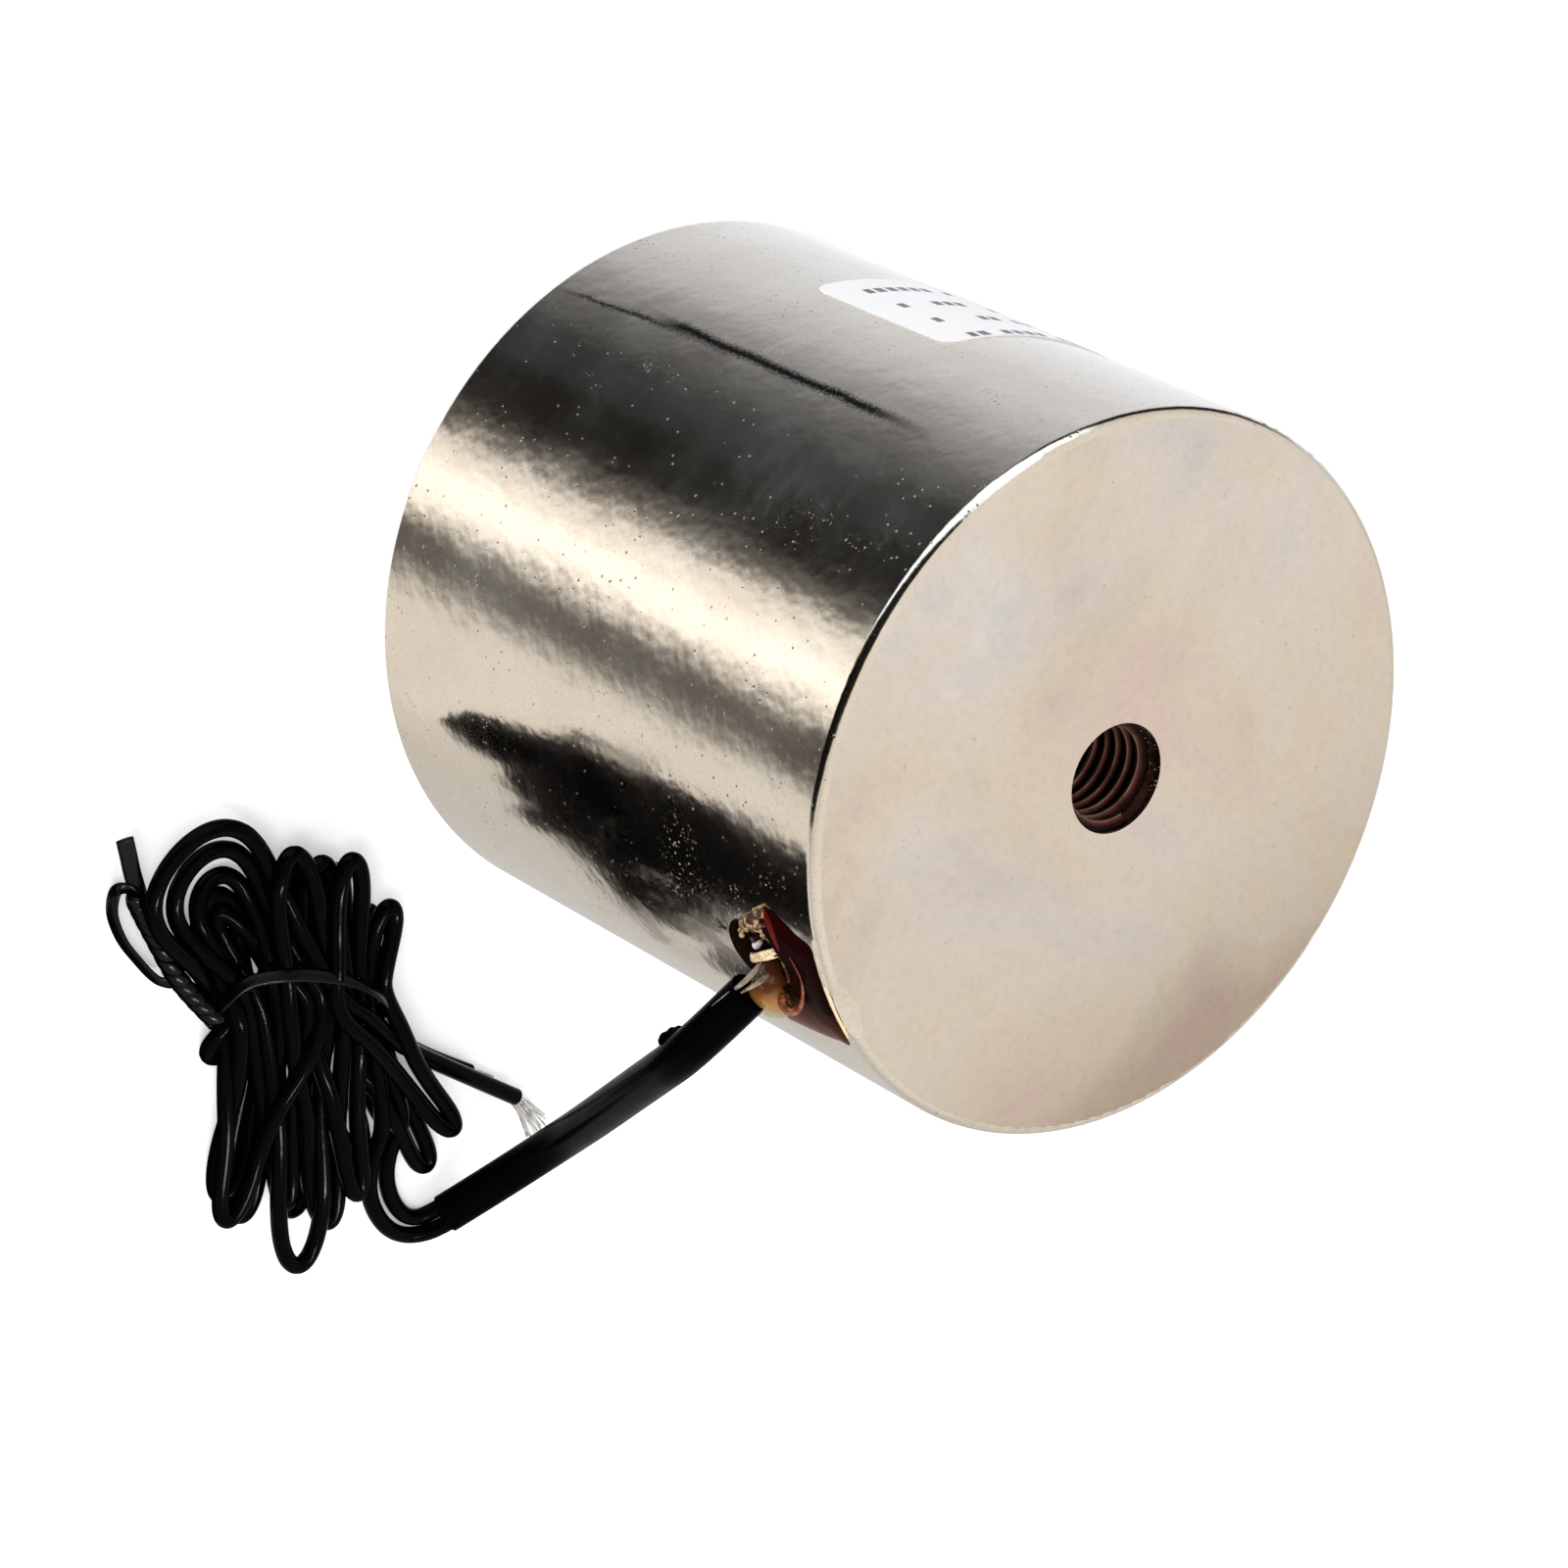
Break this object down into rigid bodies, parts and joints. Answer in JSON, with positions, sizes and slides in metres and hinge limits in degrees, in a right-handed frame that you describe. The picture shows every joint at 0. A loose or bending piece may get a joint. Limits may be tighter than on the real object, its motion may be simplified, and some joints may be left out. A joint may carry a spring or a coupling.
{
  "type": "holding electromagnet",
  "caption": "Round potted holding electromagnet with a threaded mounting hole, side lead exit and a tied two-wire lead.",
  "frame": {"origin": "centre of the holding face, on the surface that the magnet stands on", "axes": "+Z along the magnet's axis towards the mounting face and its thread, lead exit towards -Y"},
  "size_m": [0.0969, 0.1216, 0.077],
  "materials": {
    "nickel_plate": "bright nickel plate over turned steel, cloudy and lightly pitted",
    "bobbin_nylon": "moulded nylon",
    "enamelled_copper": "copper under clear red-brown enamel",
    "coil_tape": "yellow polyester tape",
    "potting_resin": "black cast epoxy, ground flat",
    "exit_resin": "glossy maroon to amber cast resin",
    "sleeve_black": "black heat-shrink tube, satin gloss",
    "wire_black": "black insulation, glossy",
    "tinned_strands": "bright tinned copper",
    "tie_plastic": "black plastic-coated tie wire",
    "label_film": "white satin label film"
  },
  "bodies": {
    "root": {"pot_body": "nickel_plate", "coil_bobbin": "bobbin_nylon", "coil_winding": "enamelled_copper", "winding_tape": "coil_tape", "potting_ring": "potting_resin", "copper_tail_a": "enamelled_copper", "copper_tail_b": "enamelled_copper", "exit_resin": "exit_resin", "lead_sleeve": "sleeve_black", "lead_a_run": "wire_black", "lead_b_run": "wire_black", "lead_hank": "wire_black", "lead_a_tail": "wire_black", "lead_b_tail": "wire_black", "strands_a": "tinned_strands", "strands_b": "tinned_strands", "twist_tie": "tie_plastic", "rating_label": "label_film"}
  },
  "joints": []
}
